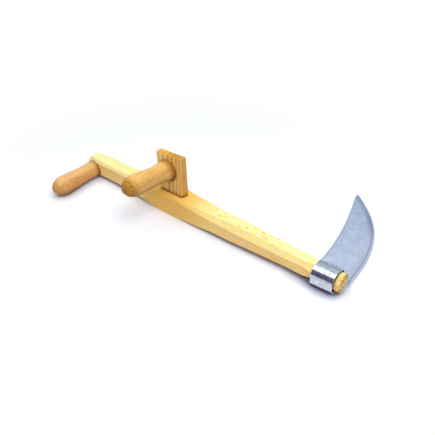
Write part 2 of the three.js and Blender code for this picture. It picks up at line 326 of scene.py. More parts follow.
class Nodes:
    """The node tree of a material or of the world while it is made, with what its patterns read."""

    def __init__(self, owner: bpy.types.Material | bpy.types.World) -> None:
        """Starts the owner's tree afresh.

        Args:
            owner: The material or the world.
        """
        owner.use_nodes = True
        self.owner, self.tree = owner, owner.node_tree
        self.tree.nodes.clear()

    def add(
        self,
        kind: str,
        inputs: dict[int | str, Any] | None = None,
        ramp: Sequence[tuple[float, str]] = (),
        **settings: Any,
    ) -> Socket | None:
        """Adds a node with its settings and links.

        Args:
            kind: The node's type, without the ShaderNode that each type starts with.
            inputs: What each input holds: a value, a hex colour, or the socket that it is linked to.
            ramp: The stops of a colour ramp, in rising order, with hex colours.
            settings: The node's own properties.

        Returns:
            The node's first output in use, or nothing where it has none.
        """
        node = self.tree.nodes.new("ShaderNode" + kind)
        for name, value in settings.items():
            setattr(node, name, value)
        for name, value in (inputs or {}).items():
            if isinstance(value, Socket):
                self.tree.links.new(value, node.inputs[name])
            else:
                node.inputs[name].default_value = linear(value) if isinstance(value, str) else value
        if ramp:
            stops = node.color_ramp.elements
            for stop, (place, colour) in zip((stops[0], stops[-1]), (ramp[0], ramp[-1])):
                stop.position, stop.color = place, linear(colour)
            for place, colour in ramp[1:-1]:
                stops.new(place).color = linear(colour)
        return next((output for output in node.outputs if output.enabled), None)

    @cached_property
    def place(self) -> Socket:
        """The object coordinates, in metres."""
        return self.add("TexCoord").node.outputs["Object"]

    @cached_property
    def axes(self) -> bpy.types.bpy_prop_collection:
        """The object coordinates along X, Y and Z."""
        return self.add("SeparateXYZ", {0: self.place}).node.outputs

    @cached_property
    def facing(self) -> bpy.types.bpy_prop_collection:
        """How far the surface faces X, Y and Z."""
        normal = self.add("NewGeometry").node.outputs["Normal"]
        return self.add("SeparateXYZ", {0: normal}).node.outputs

    def overlap(self, *ranges: tuple[Any, ...]) -> Socket:
        """How much of a mark shows where one condition holds, or several at once.

        Args:
            ranges: Each a value, the two ends of its range, and the shares there where they aren't 0 and 1.

        Returns:
            The product of the shares.
        """
        product = None
        for value, *limits in ranges:
            share = self.add("MapRange", {0: value, **dict(enumerate(limits, 1))})
            product = self.add("Math", {0: product, 1: share}, operation="MULTIPLY") if product else share
        return product

    def lay(self, colour: Socket | str, *coats: tuple[Any, ...]) -> Socket:
        """Lays coats over a colour, one after the other.

        Args:
            colour: The colour below.
            coats: Each a share, a tone, and the way it is laid where that isn't as paint.

        Returns:
            The colour that shows.
        """
        for share, tone, *way in coats:
            blend = way[0] if way else Lay.PAINT
            colour = self.add("Mix", {0: share, 6: colour, 7: tone}, data_type="RGBA", blend_type=blend.value)
        return colour

    def finish(
        self,
        colour: Socket,
        roughness: Socket | float,
        height: Socket,
        relief_mm: float,
        metallic: float = 0.0,
    ) -> bpy.types.Material:
        """Ends a material with its shader.

        Args:
            colour: The surface's colour.
            roughness: Its roughness.
            height: The pattern of its relief.
            relief_mm: How deep the relief is.
            metallic: 1 for metal.

        Returns:
            The material.
        """
        bump = self.add("Bump", {"Height": height, "Distance": relief_mm * MM, "Strength": 1.0})
        shader = self.add(
            "BsdfPrincipled",
            {"Base Color": colour, "Metallic": metallic, "Roughness": roughness, "Normal": bump},
        )
        self.add("OutputMaterial", {"Surface": shader})
        return self.owner


@dataclass(frozen=True)
class Timber:
    """Planed, sawn or turned wood.

    Fine fibres run along the grain with slower bands of tone across them. Faces that look up get a tone of
    their own, which is painted light on most woods and the end grain's tone on the plate, and faces that look
    down get painted shade. The cut ends are darker, because open pores take up soil.
    """

    name: str
    face: str
    # The tone of faces that look up: painted light on most woods, the end grain's tone on the plate.
    crown: str
    end: str
    vein: str
    grain: Grain
    # Real fibres and pores are 0.1 to 0.3 mm wide, too fine to show, so they are drawn three times as coarse.
    fibre_mm: float = 0.9
    run_mm: float = 22.0
    band_mm: float = 5.0
    band_stretch: float = 8.0
    vein_share: Pair = (0.36, 0.56)
    pore_mm: float = 1.1
    pit: str = "#d8d0c8"
    pit_share: Pair = (0.38, 0.52)
    roughness: float = 0.6
    relief_mm: float = 0.05
    crown_facing: Pair = (0.45, 1.0)
    end_facing: Pair = (0.88, 0.97)
    # A painted shade on faces that look down.
    belly: str = "#d0cabf"
    belly_facing: Pair = (-0.05, -0.6)

    def drawn_out(self, nodes: Nodes, across_mm: float, along_mm: float) -> Socket:
        """A pattern drawn out along the grain.

        Args:
            nodes: The material's nodes.
            across_mm: The pattern's size across the grain.
            along_mm: Its size along the grain.

        Returns:
            The pattern, about 0.5 on average.
        """
        scale = [per_metre(across_mm)] * 3
        scale[self.grain.value] = per_metre(along_mm)
        stretched = nodes.add("Mapping", {"Vector": nodes.place, "Scale": scale})
        return nodes.add("TexNoise", {"Vector": stretched, "Scale": 1.0, "Detail": 3.0, "Roughness": 0.6})

    def material(self) -> bpy.types.Material:
        """Builds the material.

        Returns:
            The material.
        """
        nodes = Nodes(bpy.data.materials.new(self.name))
        place, up = nodes.place, nodes.facing[2]
        # Faces that look up get painted light; on the plate they get the end grain's tone.
        low, high = self.crown_facing
        upward = nodes.add("MapRange", {0: up, 1: low, 2: high}, interpolation_type="SMOOTHSTEP")
        fibre = self.drawn_out(nodes, self.fibre_mm, self.run_mm)
        band = self.drawn_out(nodes, self.band_mm, self.band_mm * self.band_stretch)
        both = nodes.add("Math", {0: fibre, 1: band}, operation="ADD")
        both = nodes.add("Math", {0: both, 1: 0.5}, operation="MULTIPLY")
        figure = nodes.add("ValToRGB", {0: both}, ramp=[*zip(self.vein_share, (self.vein, WHITE))])
        # Faces that look down get painted shade.
        under = nodes.overlap((up, *self.belly_facing))
        wood = nodes.lay(
            self.face, (upward, self.crown), (1.0, figure, Lay.DARKEN), (under, self.belly, Lay.DARKEN)
        )
        pores = nodes.add("TexNoise", {"Vector": place, "Scale": per_metre(self.pore_mm), "Detail": 4.0})
        pitted = nodes.add("ValToRGB", {0: pores}, ramp=[*zip(self.pit_share, (self.pit, WHITE))])
        sawn = nodes.lay(self.end, (1.0, pitted, Lay.DARKEN))
        along = nodes.add("Math", {0: nodes.facing[self.grain.value]}, operation="ABSOLUTE")
        cut = nodes.overlap((along, *self.end_facing))
        colour = self.marks(nodes, nodes.lay(wood, (cut, sawn)))
        height = nodes.add("Mix", {0: cut, 2: fibre, 3: pores}, data_type="FLOAT")
        return nodes.finish(colour, self.roughness, height, self.relief_mm)

    def marks(self, nodes: Nodes, colour: Socket) -> Socket:
        """Adds what only this piece of wood shows; plain wood shows nothing more."""
        return colour


def near(nodes: Nodes, centre: Triple, half: Triple, reach: float) -> Socket:
    """How near the surface is to an upright block, for the painted bounce light round the plate and the
    darker wood at the strap's edge.

    Args:
        nodes: The material's nodes.
        centre: The block's middle in millimetres.
        half: Half its size.
        reach: How far from it the mark fades out.

    Returns:
        1 at the block, 0 beyond the reach.
    """
    away = nodes.add("VectorMath", {0: nodes.place, 1: Vector(centre) * MM}, operation="SUBTRACT")
    away = nodes.add("VectorMath", {0: away}, operation="ABSOLUTE")
    away = nodes.add("VectorMath", {0: away, 1: Vector(half) * MM}, operation="SUBTRACT")
    away = nodes.add("VectorMath", {0: away, 1: (0.0, 0.0, 0.0)}, operation="MAXIMUM")
    gap = nodes.add("VectorMath", {0: away}, operation="LENGTH")
    return nodes.add("MapRange", {0: gap, 2: reach * MM, 3: 1.0, 4: 0.0}, interpolation_type="SMOOTHSTEP")


@dataclass(frozen=True)
class RootShade:
    """The painted shade on a front face round a peg's root, mostly below the root and to its right."""

    centre: Pair
    radius: float
    reach: float
    most: float = 0.9
    least: float = 0.3
    settles: Triple = (0.8, 0.0, -0.6)
    settled: Pair = (-0.4, 0.7)
    front_facing: Pair = (-0.6, -0.9)

    def amount(self, nodes: Nodes) -> Socket:
        """How deep the painted shade is at a place.

        Args:
            nodes: The material's nodes.

        Returns:
            The most at the root, 0 beyond the reach and on other faces.
        """
        middle = (self.centre[0] * MM, 0.0, self.centre[1] * MM)
        flat = nodes.add("VectorMath", {0: nodes.place, 1: (1.0, 0.0, 1.0)}, operation="MULTIPLY")
        away = nodes.add("VectorMath", {0: flat, 1: middle}, operation="DISTANCE")
        limits = {1: self.radius * MM, 2: (self.radius + self.reach) * MM, 3: self.most, 4: 0.0}
        shade = nodes.add("MapRange", {0: away, **limits}, interpolation_type="SMOOTHSTEP")
        aside = nodes.add("VectorMath", {0: flat, 1: middle}, operation="SUBTRACT")
        low = nodes.add("VectorMath", {0: aside, 1: self.settles}, operation="DOT_PRODUCT")
        start, end = (share * self.radius * MM for share in self.settled)
        front = nodes.overlap((low, start, end, self.least), (nodes.facing[1], *self.front_facing))
        return nodes.add("Math", {0: shade, 1: front}, operation="MULTIPLY")


@dataclass(frozen=True)
class ShaftTimber(Timber):
    """The shaft's limewood: painted paler on top for the light there, warmed round the plate by painted
    orange light bounced from it, flecked towards the strap, sanded on its sides, darker at the strap's edge,
    with painted shade round the butt's peg, and torn to open pits on the sawn stub."""

    # Painted orange light round the plate, as if bounced from it.
    painted_bounce_tone: str = "#fbc860"
    bounce_centre: Triple = (0.0, 0.4, 13.8)
    bounce_half: Triple = (9.5, 2.6, 0.6)
    bounce_reach: float = 32.0
    fleck: str = "#f2c64c"
    fleck_mm: Pair = (1.5, 3.6)
    fleck_share: Pair = (0.565, 0.65)
    # Where a mark starts and ends along X is in metres, as the shader reads it.
    fleck_starts: Pair = (0.02, 0.032)
    fleck_ends: Triple = (0.098, 0.078, 0.2)
    top_facing: Pair = (0.85, 0.95)
    # Sandpaper leaves a grit pattern of about 0.2 mm on the sides, and it is drawn coarser so that it shows.
    sand: str = "#f0e3d0"
    sand_mm: float = 0.55
    sand_share: Pair = (0.38, 0.56)
    sand_facing: Pair = (0.95, 0.75)
    # The saw tears pits of about 0.3 mm out of the stub, and they are drawn twice as wide so that they show.
    torn: str = "#ffd476"
    torn_pit: str = "#3e2204"
    torn_mm: float = 0.65
    torn_share: Pair = (0.38, 0.56)
    torn_from: Pair = (0.1219, 0.1224)
    torn_facing: Triple = (0.0, 0.3, 0.12)
    # The dark tone is painted shade round the butt peg's root.
    dark_tone: str = "#8a5a22"
    root: RootShade = RootShade(BUTT_PEG_AT, 6.0, 1.5)
    # The wood is darker next to the strap's edge.
    strap_edge_darkening: str = "#59422c"
    strap_centre: Triple = (114.8, 0.0, 0.0)
    strap_half: Triple = (6.7, 20.0, 40.0)
    strap_reach: float = 0.75

    def marks(self, nodes: Nodes, colour: Socket) -> Socket:
        """Adds what only this piece of wood shows.

        Args:
            nodes: The material's nodes.
            colour: The wood's colour so far.

        Returns:
            The colour with the marks.
        """
        x, up, place = nodes.axes[0], nodes.facing[2], nodes.place
        # Painted orange light round the plate.
        bounce_share = near(nodes, self.bounce_centre, self.bounce_half, self.bounce_reach)
        flecks = nodes.overlap(
            (self.drawn_out(nodes, *self.fleck_mm), *self.fleck_share),
            (x, *self.fleck_starts), (x, *self.fleck_ends), (up, *self.top_facing),
        )
        grit = nodes.add("TexNoise", {"Vector": place, "Scale": per_metre(self.sand_mm), "Detail": 2.0})
        grit = nodes.add("ValToRGB", {0: grit}, ramp=[*zip(self.sand_share, (self.sand, WHITE))])
        side = nodes.overlap((up, *self.sand_facing))
        holes = nodes.add("TexVoronoi", {"Vector": place, "Scale": per_metre(self.torn_mm)})
        rough = nodes.add("ValToRGB", {0: holes}, ramp=[*zip(self.torn_share, (self.torn_pit, self.torn))])
        stub = nodes.overlap((x, *self.torn_from), (nodes.facing[0], *self.torn_facing))
        # Darker next to the strap's edge.
        rim = near(nodes, self.strap_centre, self.strap_half, self.strap_reach)
        # The butt peg's root gets painted shade.
        return nodes.lay(
            colour, (bounce_share, self.painted_bounce_tone), (flecks, self.fleck), (side, grit, Lay.DARKEN), (stub, rough),
            (rim, self.strap_edge_darkening), (self.root.amount(nodes), self.dark_tone),
        )


@dataclass(frozen=True)
class PlateTimber(Timber):
    """The plate's oak, quarter sawn: dark year rings stand upright across it, the side towards the blade is
    the browner heartwood, it is darker at its foot, and it has painted shade round its peg."""

    rings: tuple[tuple[float, str], ...] = (
        (-9.8, "#f6ead6"), (-5.9, "#dfc9a6"), (-1.6, "#c7a880"),
        (1.9, "#c7a880"), (5.4, "#d8bc96"), (7.9, "#e6d5b8"),
    )
    ring_fade: float = 1.2
    ring_edge: float = 0.7
    ring_sway: float = 0.5
    sway_mm: Pair = (7.0, 16.0)
    sway_share: Pair = (0.3, 0.7)
    span: float = 12.0
    flat_tone: str = "#e0cba4"
    flat_facing: Pair = (0.6, 0.95)
    heart_tone: str = "#efe4d2"
    heart: Pair = (-5.0, 1.0)
    # The dark tone darkens the foot and is painted shade round the peg's root.
    dark_tone: str = "#7d4a1c"
    foot: Pair = (13.8, 17.0)
    foot_darkening: float = 0.75
    root: RootShade = RootShade(MID_PEG_AT, 7.0, 1.7)

    def marks(self, nodes: Nodes, colour: Socket) -> Socket:
        """Adds what only this piece of wood shows.

        Args:
            nodes: The material's nodes.
            colour: The wood's colour so far.

        Returns:
            The colour with the marks.
        """
        x, _, z = nodes.axes
        sway, most = self.drawn_out(nodes, *self.sway_mm), self.ring_sway * MM
        sway = nodes.overlap((sway, *self.sway_share, -most, most))
        across = nodes.add("Math", {0: x, 1: sway}, operation="ADD")
        across = nodes.overlap((across, -self.span * MM, self.span * MM))
        stops = [(-self.span, WHITE)]
        for ring, tone in self.rings:
            stops += [(ring - self.ring_fade, WHITE), (ring, tone), (ring + self.ring_edge, WHITE)]
        stops.append((self.span, WHITE))
        ramp = [((place + self.span) / (2 * self.span), tone) for place, tone in stops]
        rings = nodes.add("ValToRGB", {0: across}, ramp=ramp)
        heart = nodes.overlap((x, *(place * MM for place in self.heart)))
        flat = nodes.add("Math", {0: nodes.facing[0]}, operation="ABSOLUTE")
        flat = nodes.overlap((flat, *self.flat_facing))
        low, high = (place * MM for place in self.foot)
        limits = {1: low, 2: high, 3: self.foot_darkening, 4: 0.0}
        foot = nodes.add("MapRange", {0: z, **limits}, interpolation_type="SMOOTHSTEP")
        # Darker at the foot, and painted shade round the peg's root.
        darkening = nodes.add("Math", {0: foot, 1: self.root.amount(nodes)}, operation="MAXIMUM")
        return nodes.lay(
            colour, (1.0, rings, Lay.DARKEN), (heart, self.heart_tone, Lay.DARKEN),
            (flat, self.flat_tone, Lay.DARKEN), (darkening, self.dark_tone),
        )


@dataclass(frozen=True)
class PegTimber(Timber):
    """Turned beech: the round end shows darker end grain and the peg is darker towards its root."""

    root_y: float = -2.5
    root_reach: float = 4.0
    root_tone: str = "#c4ae88"
    # The fuzz that sandpaper raises is about 0.2 mm, and it is drawn coarser so that it shows.
    fuzz_mm: float = 0.9
    fuzz_tone: str = "#ebe5dc"
    fuzz_share: Pair = (0.4, 0.58)

    def marks(self, nodes: Nodes, colour: Socket) -> Socket:
        """Adds what only this piece of wood shows.

        Args:
            nodes: The material's nodes.
            colour: The wood's colour so far.

        Returns:
            The colour with the marks.
        """
        scale = {"Vector": nodes.place, "Scale": per_metre(self.fuzz_mm)}
        fuzz = nodes.add("TexNoise", {**scale, "Detail": 5.0})
        fuzz = nodes.add("ValToRGB", {0: fuzz}, ramp=[*zip(self.fuzz_share, (self.fuzz_tone, WHITE))])
        limits = {1: (self.root_y - self.root_reach) * MM, 2: self.root_y * MM}
        root = nodes.add("MapRange", {0: nodes.axes[1], **limits}, interpolation_type="SMOOTHSTEP")
        return nodes.lay(colour, (1.0, fuzz, Lay.DARKEN), (root, self.root_tone, Lay.DARKEN))


@dataclass(frozen=True)
class SheetSteel:
    """Cold-rolled sheet steel with a thin grey-blue oxide: satin metal with faint clouds and short scores."""

    name: str = "cold-rolled sheet steel"
    tone: str = "#e6f1ff"
    cloud: str = "#d9e4f3"
    cloud_mm: float = 6.0
    cloud_share: Pair = (0.38, 0.6)
    # Real scores are hair-thin, so they are drawn about five times as wide.
    score: str = "#6c7687"
    score_mm: Triple = (0.8, 3.2, 3.0)
    score_share: Pair = (0.645, 0.73)
    tip_tone: str = "#dee2e8"
    reach: float = 90.5
    # A painted shade on faces that look down.
    under: str = "#6c6a78"
    under_facing: Pair = (0.0, -0.35)
    # A painted shade on the flat top; white leaves the top as it is.
    crown: str = WHITE
    crown_facing: Pair = (0.982, 1.0)
    # The painted shade on the strap's top deepens across it, from front to back along Y, in metres, starting
    # at a quarter.
    crown_fade: Triple = (-0.0024, 0.0004, 0.25)
    roughness: float = 0.32
    unevenness: float = 0.04
    dent_mm: float = 0.0
    dent_size_mm: float = 2.2
    worn: bool = True
    # Each line of painted shade along the rim's crease: its distance from the back, its half width and its
    # strength.
    crease_lines: tuple[Triple, ...] = ((1.66, 0.3, 1.0), (0.82, 0.2, 0.5))
    # The crease and the flank are painted shade, and rubbed is a painted highlight on the rim's outer edge.
    marks: tuple[tuple[str, str], ...] = (
        ("blush", "#d9ddec"), ("rubbed", "#eef6ff"), ("crease", "#757b8f"),
        ("flank", "#a2b1c8"), ("honed", "#cfdff5"),
    )

    def material(self) -> bpy.types.Material:
        """Builds the material.

        Returns:
            The material.
        """
        nodes = Nodes(bpy.data.materials.new(self.name))
        place, y, up = nodes.place, nodes.axes[1], nodes.facing[2]
        scale = {"Vector": place, "Scale": per_metre(self.cloud_mm)}
        clouds = nodes.add("TexNoise", {**scale, "Detail": 4.0, "Roughness": 0.6})
        colour = nodes.add("ValToRGB", {0: clouds}, ramp=[*zip(self.cloud_share, (self.cloud, self.tone))])
        scale = [per_metre(size) for size in self.score_mm]
        stretched = nodes.add("Mapping", {"Vector": place, "Scale": scale})
        scores = nodes.add("TexNoise", {"Vector": stretched, "Scale": 1.0, "Detail": 3.0, "Roughness": 0.65})
        # Over the clouds lie the scores, a darkening towards the tip, and painted shade on the flat top and
        # below.
        colour = nodes.lay(
            colour,
            (nodes.overlap((scores, *self.score_share)), self.score),
            (nodes.overlap((y, 0.0, self.reach * MM)), self.tip_tone, Lay.DARKEN),
            (nodes.overlap((up, *self.crown_facing), (y, *self.crown_fade)), self.crown, Lay.DARKEN),
            (nodes.overlap((up, *self.under_facing)), self.under),
        )
        if self.worn:
            colour = nodes.lay(colour, *((self.wear(nodes, mark), shade) for mark, shade in self.marks))
        duller, shinier = self.roughness + self.unevenness, self.roughness - self.unevenness
        rough = nodes.overlap((clouds, 0.0, 1.0, duller, shinier))
        dents = nodes.add("TexNoise", {"Vector": place, "Scale": per_metre(self.dent_size_mm), "Detail": 3.0})
        return nodes.finish(colour, rough, dents, self.dent_mm, metallic=1.0)

    def wear(self, nodes: Nodes, mark: str) -> Socket:
        """How much of a mark shows on the blade, wear and painted light alike.

        Args:
            nodes: The material's nodes.
            mark: The attribute that holds it. The crease shows as thin lines, by distance from the back.

        Returns:
            Its amount.
        """
        amount = nodes.add("Attribute", attribute_name=mark).node.outputs["Fac"]
        if mark != "crease":
            return amount
        inset = nodes.add("Attribute", attribute_name="inset").node.outputs["Fac"]
        lines = 0.0
        for centre, half, depth in self.crease_lines:
            off = nodes.add("Math", {0: inset, 1: centre}, operation="SUBTRACT")
            off = nodes.add("Math", {0: off}, operation="ABSOLUTE")
            line = nodes.overlap((off, half, 0.0, 0.0, depth))
            lines = nodes.add("Math", {0: line, 1: lines}, operation="MAXIMUM")
        return nodes.add("Math", {0: amount, 1: lines}, operation="MULTIPLY")


# The object


@dataclass
class Shaft:
    """The eight-sided shaft, full under the plate and cut down towards the butt and the strap."""

    seat_gap: float = 0.25
    butt_reach: float = 79.0
    neck_reach: float = 108.1
    strap_width: float = 13.4
    stub_length: float = 3.8
    butt_swell: float = 7.0
    blade_swell: float = 44.0
    butt_taper: float = 46.0
    blade_taper: float = 64.0
    swell: Triple = (14.4, 13.8, 0.0)
    butt: Triple = (11.9, 12.0, 1.6)
    neck: Triple = (11.7, 10.5, 1.35)
    body_chamfer: float = 3.2
    butt_chamfer: float = 1.6
    least_chamfer: float = 0.12
    butt_bevel: float = 1.9
    butt_wear: float = 2.4
    butt_wear_run: float = 6.0
    tip_bevel: float = 1.0
    stub_droop: float = 0.85
    stub_wear: float = 2.8
    stub_step: float = 0.25
    stub_steps: int = 4
    torn_start: float = 0.3
    torn_size: float = 1.6
    torn_depth: float = 0.14
    rings: int = 130
    butt_steps: int = 6
    tip_steps: int = 5
    points_a_facet: int = 10
    cope_spare: float = 0.1
    cope_stations: tuple[float, ...] = (-82.0, -77.0, -70.0, -60.0)
    blade_side: Table = (
        (0, 0), (0.04, 0), (0.2, 0.5), (0.36, 0.92), (0.6, 1),
        (0.8, 0.9), (0.94, 0.74), (1, 1.06), (1.16, 1.08),
    )
    butt_side: Table = ((0, 0), (0.06, 0), (0.3, 0.9), (0.5, 1), (0.85, 1), (1, 1.5))
    # Limewood is pale and close-grained, and the plane leaves it smooth, almost plain and with a faint sheen.
    # Its top is painted paler for light, and its underside darker for shade.
    wood: Timber = ShaftTimber(
        "limewood, planed", "#ffdd8f", "#f8f4aa", "#dfb673", "#fbf4e7", Grain.ALONG_X, roughness=0.65,
        belly="#9a7450",
    )

    @property
    def stub_reach(self) -> float:
        """Where the wood comes out of the strap."""
        return self.neck_reach + self.strap_width + self.seat_gap

    @property
    def tip_reach(self) -> float:
        """Where the end grain beyond the strap lies."""
        return self.neck_reach + self.strap_width + self.stub_length

    def section(self, x: float) -> Quad:
        """The section at a place along the shaft.

        Args:
            x: The place.

        Returns:
            Its width, height, rise from the table and chamfer.
        """
        if x > 0:
            swell, taper, end = self.blade_swell, self.blade_taper, self.neck
            reach, rows, full = self.neck_reach, self.blade_side, self.body_chamfer
        else:
            swell, taper, end = self.butt_swell, self.butt_taper, self.butt
            reach, rows, full = self.butt_reach, self.butt_side, self.butt_chamfer
        thinned = ease(swell, swell + taper, abs(x))
        width, height, lift = (mix(thick, thin, thinned) for thick, thin in zip(self.swell, end))
        return width, height, lift, full * table_value(rows, abs(x) / reach)

    def corners(self, x: float, inset: float, droop: float) -> list[Vector]:
        """The section's corners.

        Args:
            x: The place along the shaft.
            inset: How far they are drawn in.
            droop: How far the foot is lowered.

        Returns:
            The eight corners in Y and Z.
        """
        width, height, lift, chamfer = self.section(x)
        half = width / 2 - inset
        low = lift + inset - droop
        high = lift + height - inset
        cut = max(chamfer - inset * (2 - math.sqrt(2)), self.least_chamfer)
        worn = cut + self.stub_wear * min(droop / self.stub_droop, 1.0)
        rubbed = cut + self.butt_wear * ease(-self.butt_reach + self.butt_wear_run, -self.butt_reach, x)
        points = (
            (half - worn, low), (half, low + worn), (half, high - rubbed), (half - rubbed, high),
            (cut - half, high), (-half, high - cut), (-half, low + cut), (cut - half, low),
        )
        return [Vector(point) for point in points]

    @staticmethod
    def bevel(end: float, side: int, size: float, steps: int, droop: float) -> list[Triple]:
        """The rings of a rounded end.

        Args:
            end: Where the end lies.
            side: 1 where the shaft goes on towards the blade, -1 where it goes on towards the butt.
            size: The bevel's size.
            steps: How many steps it has.
            droop: How far the foot is lowered.

        Returns:
            The place, inset and droop of each ring, from the full section to the end.
        """
        turns = [math.radians(90 * k / steps) for k in range(steps + 1)]
        return [
            (end + side * size * (1 - math.sin(turn)), size * (1 - math.cos(turn)), droop) for turn in turns
        ]

    def stations(self) -> list[Triple]:
        """The rings of the whole shaft.

        Returns:
            The place, inset and droop of each ring from the butt to the end grain.
        """
        start = self.butt_bevel - self.butt_reach
        butt = self.bevel(-self.butt_reach, 1, self.butt_bevel, self.butt_steps, 0.0)[:0:-1]
        body = [(mix(start, self.stub_reach, k / self.rings), 0.0, 0.0) for k in range(self.rings + 1)]
        step = [
            (self.stub_reach + self.stub_step * k, 0.0, self.stub_droop * ease(0, self.stub_steps, k))
            for k in range(1, self.stub_steps + 1)
        ]
        tip = self.bevel(self.tip_reach, -1, self.tip_bevel, self.tip_steps, self.stub_droop)
        return butt + body + step + tip

    def tube(self, rings: Sequence[Triple]) -> bmesh.types.BMesh:
        """A closed eight-sided tube with softly rounded arrises.

        Args:
            rings: The place, inset and droop of each ring.

        Returns:
            The tube.
        """
        outlines = [self.corners(*ring) for ring in rings]
        sides = 8 * self.points_a_facet
        bm = unit_sheet(sides, len(rings) - 1)

        def place(u: float, v: float, _: float) -> Vector:
            """The place on the tube of a corner of the unit sheet.

            Args:
                u: The share of the way round.
                v: The share of the rings that lie before it.
                _: The height on the sheet, which is 0.

            Returns:
                The place.
            """
            ring = round(v * (len(rings) - 1))
            facet, part = divmod(round(u * sides) % sides, self.points_a_facet)
            share = 0.5 - 0.5 * math.cos(math.pi * part / self.points_a_facet)
            point = outlines[ring][facet].lerp(outlines[ring][(facet + 1) % 8], share)
            x = rings[ring][0]
            if x > self.stub_reach + self.torn_start:
                lump = 0.5 + 0.5 * noise.noise(Vector((x, point.x, point.y)) / self.torn_size)
                middle = self.section(x)[2] + self.section(x)[1] / 2
                point = point.lerp(Vector((0.0, middle)), self.torn_depth * lump)
            return Vector((x, point.x, point.y))

        shape(bm, place)
        bmesh.ops.remove_doubles(bm, verts=bm.verts, dist=1e-4)
        bmesh.ops.holes_fill(bm, edges=[edge for edge in bm.edges if edge.is_boundary], sides=0)
        return bm

    def cope_form(self) -> bmesh.types.BMesh:
        """The butt's form, a little full, that its peg is coped against."""
        return self.tube([(x, -self.cope_spare, 0.0) for x in self.cope_stations])

    def build(self, *cutters: bmesh.types.BMesh) -> bpy.types.Object:
        """Builds the shaft with its mortise and holes, and dresses it.

        Args:
            cutters: What the plate's tongue, the dowel and the tack take out.

        Returns:
            The shaft.
        """
        piece = mesh_object(self.tube(self.stations()), "shaft_wood")
        cut_away(piece, *cutters)
        dress(piece, 30, self.wood.material(), "shaft")
        return piece


@dataclass
class GripPlate:
    """The upright plate whose tongue is glued into the top of the shaft."""

    foot_z: float
    seat_gap: float
    width: float = 19.8
    top_width: float = 21.6
    thickness: float = 5.8
    top_thickness: float = 4.8
    height: float = 27.3
    top_slope: float = 1.2
    lean: float = 1.4
    setback: float = 0.4
    foot_radius: float = 2.2
    edge_radius: float = 0.7
    foot_run: float = 3.0
    mortise_depth: float = 10.0
    mortise_rise: float = 2.0
    cope_spare: float = 0.1
    cope_span: Pair = (0.02, 0.98)
    cuts: int = 38
    crowding: float = 1.5
    notches: tuple[float, ...] = (-5.9, -1.6, 1.9, 5.4)
    notch_depth: float = 0.42
    notch_width: float = 0.6
    notch_from: float = 0.93
    # Oak sawn on the quarter shows straight dark year rings, and its cut top shows open pores.
    wood: Timber = PlateTimber(
        "oak, quarter sawn", "#ffda84", "#f2bc3a", "#f2bc3a", "#f1e6d6", Grain.ALONG_Z, roughness=0.6
    )

    def thickness_at(self, z: float) -> float:
        """How thick the plate is at a height."""
        return mix(self.thickness, self.top_thickness, (z - self.foot_z) / self.height)

    def block(self, low: float, high: float, spare: float) -> bmesh.types.BMesh:
        """A rounded block, a length of the plate.

        Args:
            low: The share of the plate's height where it starts.
            high: The share where it ends.
            spare: How much larger it is each way than the plate.

        Returns:
            The block.
        """
        bm = bmesh.new()
        bmesh.ops.create_cube(bm, size=2.0)
        bmesh.ops.subdivide_edges(bm, edges=bm.edges[:], cuts=self.cuts, use_grid_fill=True)

        def spread(value: float) -> float:
            """Sets the cuts closer together along the edges."""
            return math.copysign(1 - (1 - abs(value)) ** self.crowding, value)

        def place(u: float, v: float, w: float) -> Vector:
            """The place on the block of a point of the cube.

            Args:
                u: The point's place across the cube, from -1 to 1.
                v: Its place through the cube.
                w: Its height.

            Returns:
                The place.
            """
            share = mix(low, high, (spread(w) + 1) / 2)
            up = max(share, 0.0)
            half_x = mix(self.width, self.top_width, up) / 2 + spare
            half_y = mix(self.thickness, self.top_thickness, up) / 2 + spare
            round_off = mix(self.foot_radius, self.edge_radius, ease(0.0, self.foot_run / self.height, share))
            top = self.height * (high - share)
            edge = self.edge_radius
            if share > 0 and top < edge:
                slip = edge - math.sqrt(max(edge**2 - (edge - top) ** 2, 0.0))
                half_x, half_y = half_x - slip, half_y - slip
            point = Vector((spread(u) * half_x, spread(v) * half_y, 0.0))
            inner = Vector((
                min(max(point.x, round_off - half_x), half_x - round_off),
                min(max(point.y, round_off - half_y), half_y - round_off),
                0.0,
            ))
            away = point - inner
            if away.length > 1e-9 and max(abs(u), abs(v)) > 0.999:
                point = inner + away.normalized() * round_off
            rise = self.top_slope * up * point.x / (2 * half_x)
            x = point.x - self.lean * up
            worn = max(math.exp(-(((x - notch) / self.notch_width) ** 2)) for notch in self.notches)
            rise -= self.notch_depth * worn * ease(self.notch_from, 1.0, share)
            return Vector((x, point.y + self.setback, self.foot_z + self.height * share + rise))

        shape(bm, place)
        return bm

    def mortise(self) -> bmesh.types.BMesh:
        """What the tongue takes out of the shaft."""
        return self.block(-self.mortise_depth / self.height, self.mortise_rise / self.height, self.seat_gap)

    def cope_form(self) -> bmesh.types.BMesh:
        """The plate's form, a little full, that its peg is coped against."""
        return self.block(*self.cope_span, self.cope_spare)

    def build(self, bore: bmesh.types.BMesh) -> bpy.types.Object:
        """Builds the plate with its dowel hole, and dresses it.

        Args:
            bore: What the dowel takes out.

        Returns:
            The plate.
        """
        tongue = self.mortise_depth - 2 * self.seat_gap
        piece = mesh_object(self.block(-tongue / self.height, 1.0, 0.0), "grip_plate_wood")
        cut_away(piece, bore)
        dress(piece, 35, self.wood.material(), "grip_plate")
        return piece


